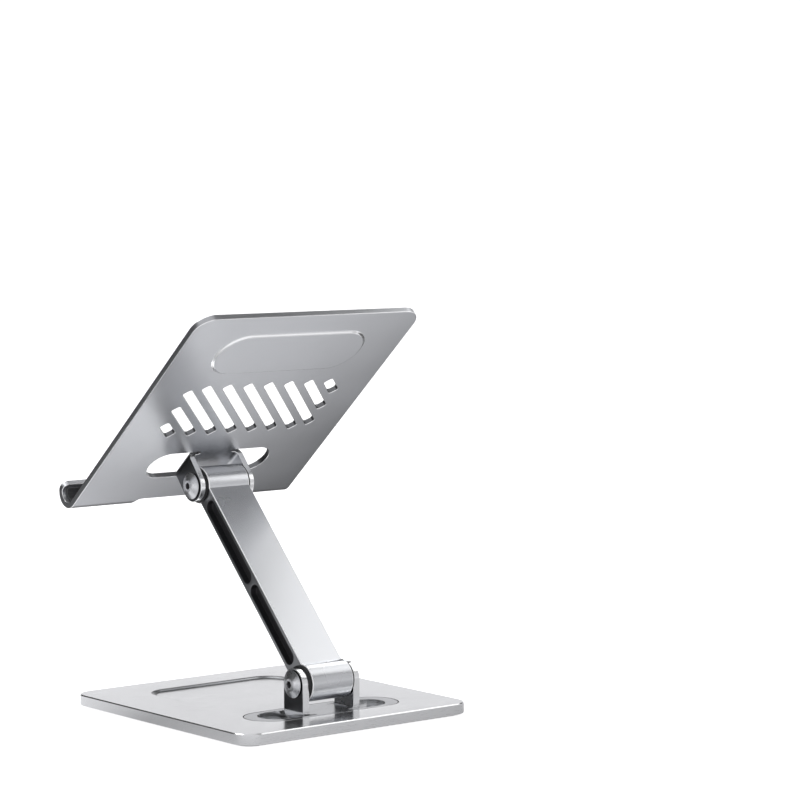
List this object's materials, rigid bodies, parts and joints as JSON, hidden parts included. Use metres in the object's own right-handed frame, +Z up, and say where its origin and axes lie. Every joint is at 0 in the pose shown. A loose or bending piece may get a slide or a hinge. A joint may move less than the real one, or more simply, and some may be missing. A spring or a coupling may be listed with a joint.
{
  "type": "tablet stand",
  "caption": "Folding aluminium tablet stand: flat base, hinged arm and a tilting holder plate with slanted cooling slots and front hooks.",
  "frame": {"origin": "on the table under the middle of the base, at the bottom face of the silicone foot pad", "axes": "+Z up, -Y towards the user, +X to the user's right; both hinge axes run along X"},
  "size_m": [0.162, 0.1892, 0.2348],
  "materials": {
    "base_aluminium": "satin anodised",
    "hinge_aluminium": "satin anodised",
    "holder_aluminium": "satin anodised",
    "foot_silicone": "matt",
    "pad_silicone": "matt",
    "washer_polymer": "matt",
    "screw_steel": "satin",
    "spring_steel": "satin",
    "sleeve_steel": "ground",
    "bush_bronze": "plain"
  },
  "bodies": {
    "base": {"base_plate": "base_aluminium", "base_foot_pad": "foot_silicone", "hinge_bracket": "hinge_aluminium", "bracket_screws": "screw_steel", "lower_pivot_sleeve": "sleeve_steel", "lower_pivot_screws": "screw_steel", "lower_spring_washers": "spring_steel", "lower_friction_washers": "washer_polymer"},
    "arm": {"arm": "hinge_aluminium", "lower_bushes": "bush_bronze", "upper_bushes": "bush_bronze"},
    "holder": {"holder_panel": "holder_aluminium", "front_pad": "pad_silicone", "hook_pad_left": "foot_silicone", "hook_pad_right": "foot_silicone", "upper_pivot_sleeve": "sleeve_steel", "upper_pivot_screws": "screw_steel", "upper_spring_washers": "spring_steel", "upper_friction_washers": "washer_polymer"}
  },
  "joints": [
    {"name": "arm_hinge", "type": "hinge", "parent": "base", "child": "arm", "pos_m": [0, 0.04965, 0.0239], "axis": [-1, 0, 0], "range_deg": [-46.3, 43.7]},
    {"name": "tilt_hinge", "type": "hinge", "parent": "arm", "child": "holder", "pos_m": [0, -0.05046, 0.12866], "axis": [1, 0, 0], "range_deg": [-86.9, 45]}
  ]
}
